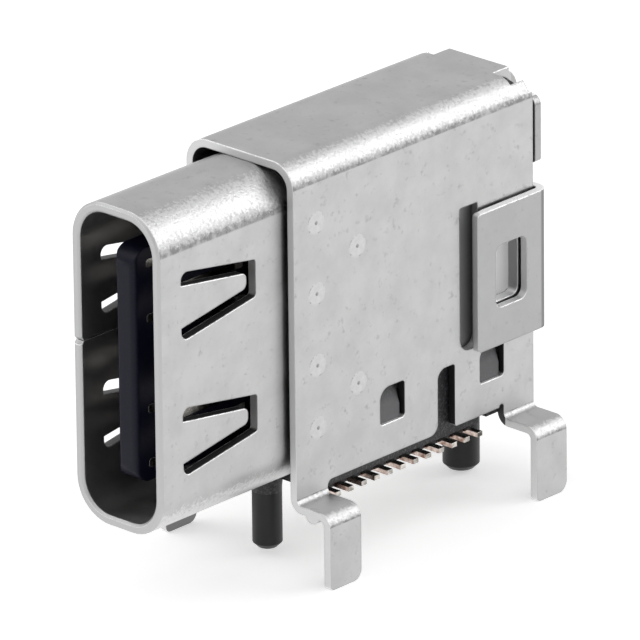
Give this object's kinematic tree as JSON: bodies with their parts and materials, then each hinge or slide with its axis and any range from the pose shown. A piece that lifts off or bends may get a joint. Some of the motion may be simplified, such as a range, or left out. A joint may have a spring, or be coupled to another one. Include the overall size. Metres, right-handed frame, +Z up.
{
  "type": "usb type-c receptacle",
  "caption": "Upright through-hole and surface-mount USB type-C board receptacle: wrapped shell, folded cover with lugs, tongue with two contact rows, moulded base with pegs.",
  "frame": {"origin": "on the front locating peg's axis, in the plane of the board's upper surface, which the contact feet and the lug shelves touch", "axes": "+X across the mouth's width, towards the right side seen from the mouth; +Y to the rear, so the mouth looks along -Y; +Z up from the board"},
  "size_m": [0.0062, 0.0142, 0.0115],
  "materials": {
    "shell_steel": "satin nickel-plated steel sheet",
    "inner_steel": "bright steel sheet",
    "contact_alloy": "plated copper alloy, bare on the cut sides",
    "tongue_plastic": "smooth black glass-filled polymer",
    "base_plastic": "matt black glass-filled polymer"
  },
  "bodies": {
    "root": {"front_shell": "shell_steel", "rear_cover": "shell_steel", "tongue_moulding": "tongue_plastic", "mid_plate": "inner_steel", "ground_plate_right": "inner_steel", "ground_plate_left": "inner_steel", "contact_wafer_right": "base_plastic", "contact_wafer_left": "base_plastic", "base_housing": "base_plastic", "contact_a01": "contact_alloy", "contact_a02": "contact_alloy", "contact_a03": "contact_alloy", "contact_a04": "contact_alloy", "contact_a05": "contact_alloy", "contact_a06": "contact_alloy", "contact_a07": "contact_alloy", "contact_a08": "contact_alloy", "contact_a09": "contact_alloy", "contact_a10": "contact_alloy", "contact_a11": "contact_alloy", "contact_a12": "contact_alloy", "contact_b01": "contact_alloy", "contact_b02": "contact_alloy", "contact_b03": "contact_alloy", "contact_b04": "contact_alloy", "contact_b05": "contact_alloy", "contact_b06": "contact_alloy", "contact_b07": "contact_alloy", "contact_b08": "contact_alloy", "contact_b09": "contact_alloy", "contact_b10": "contact_alloy", "contact_b11": "contact_alloy", "contact_b12": "contact_alloy"}
  },
  "joints": []
}
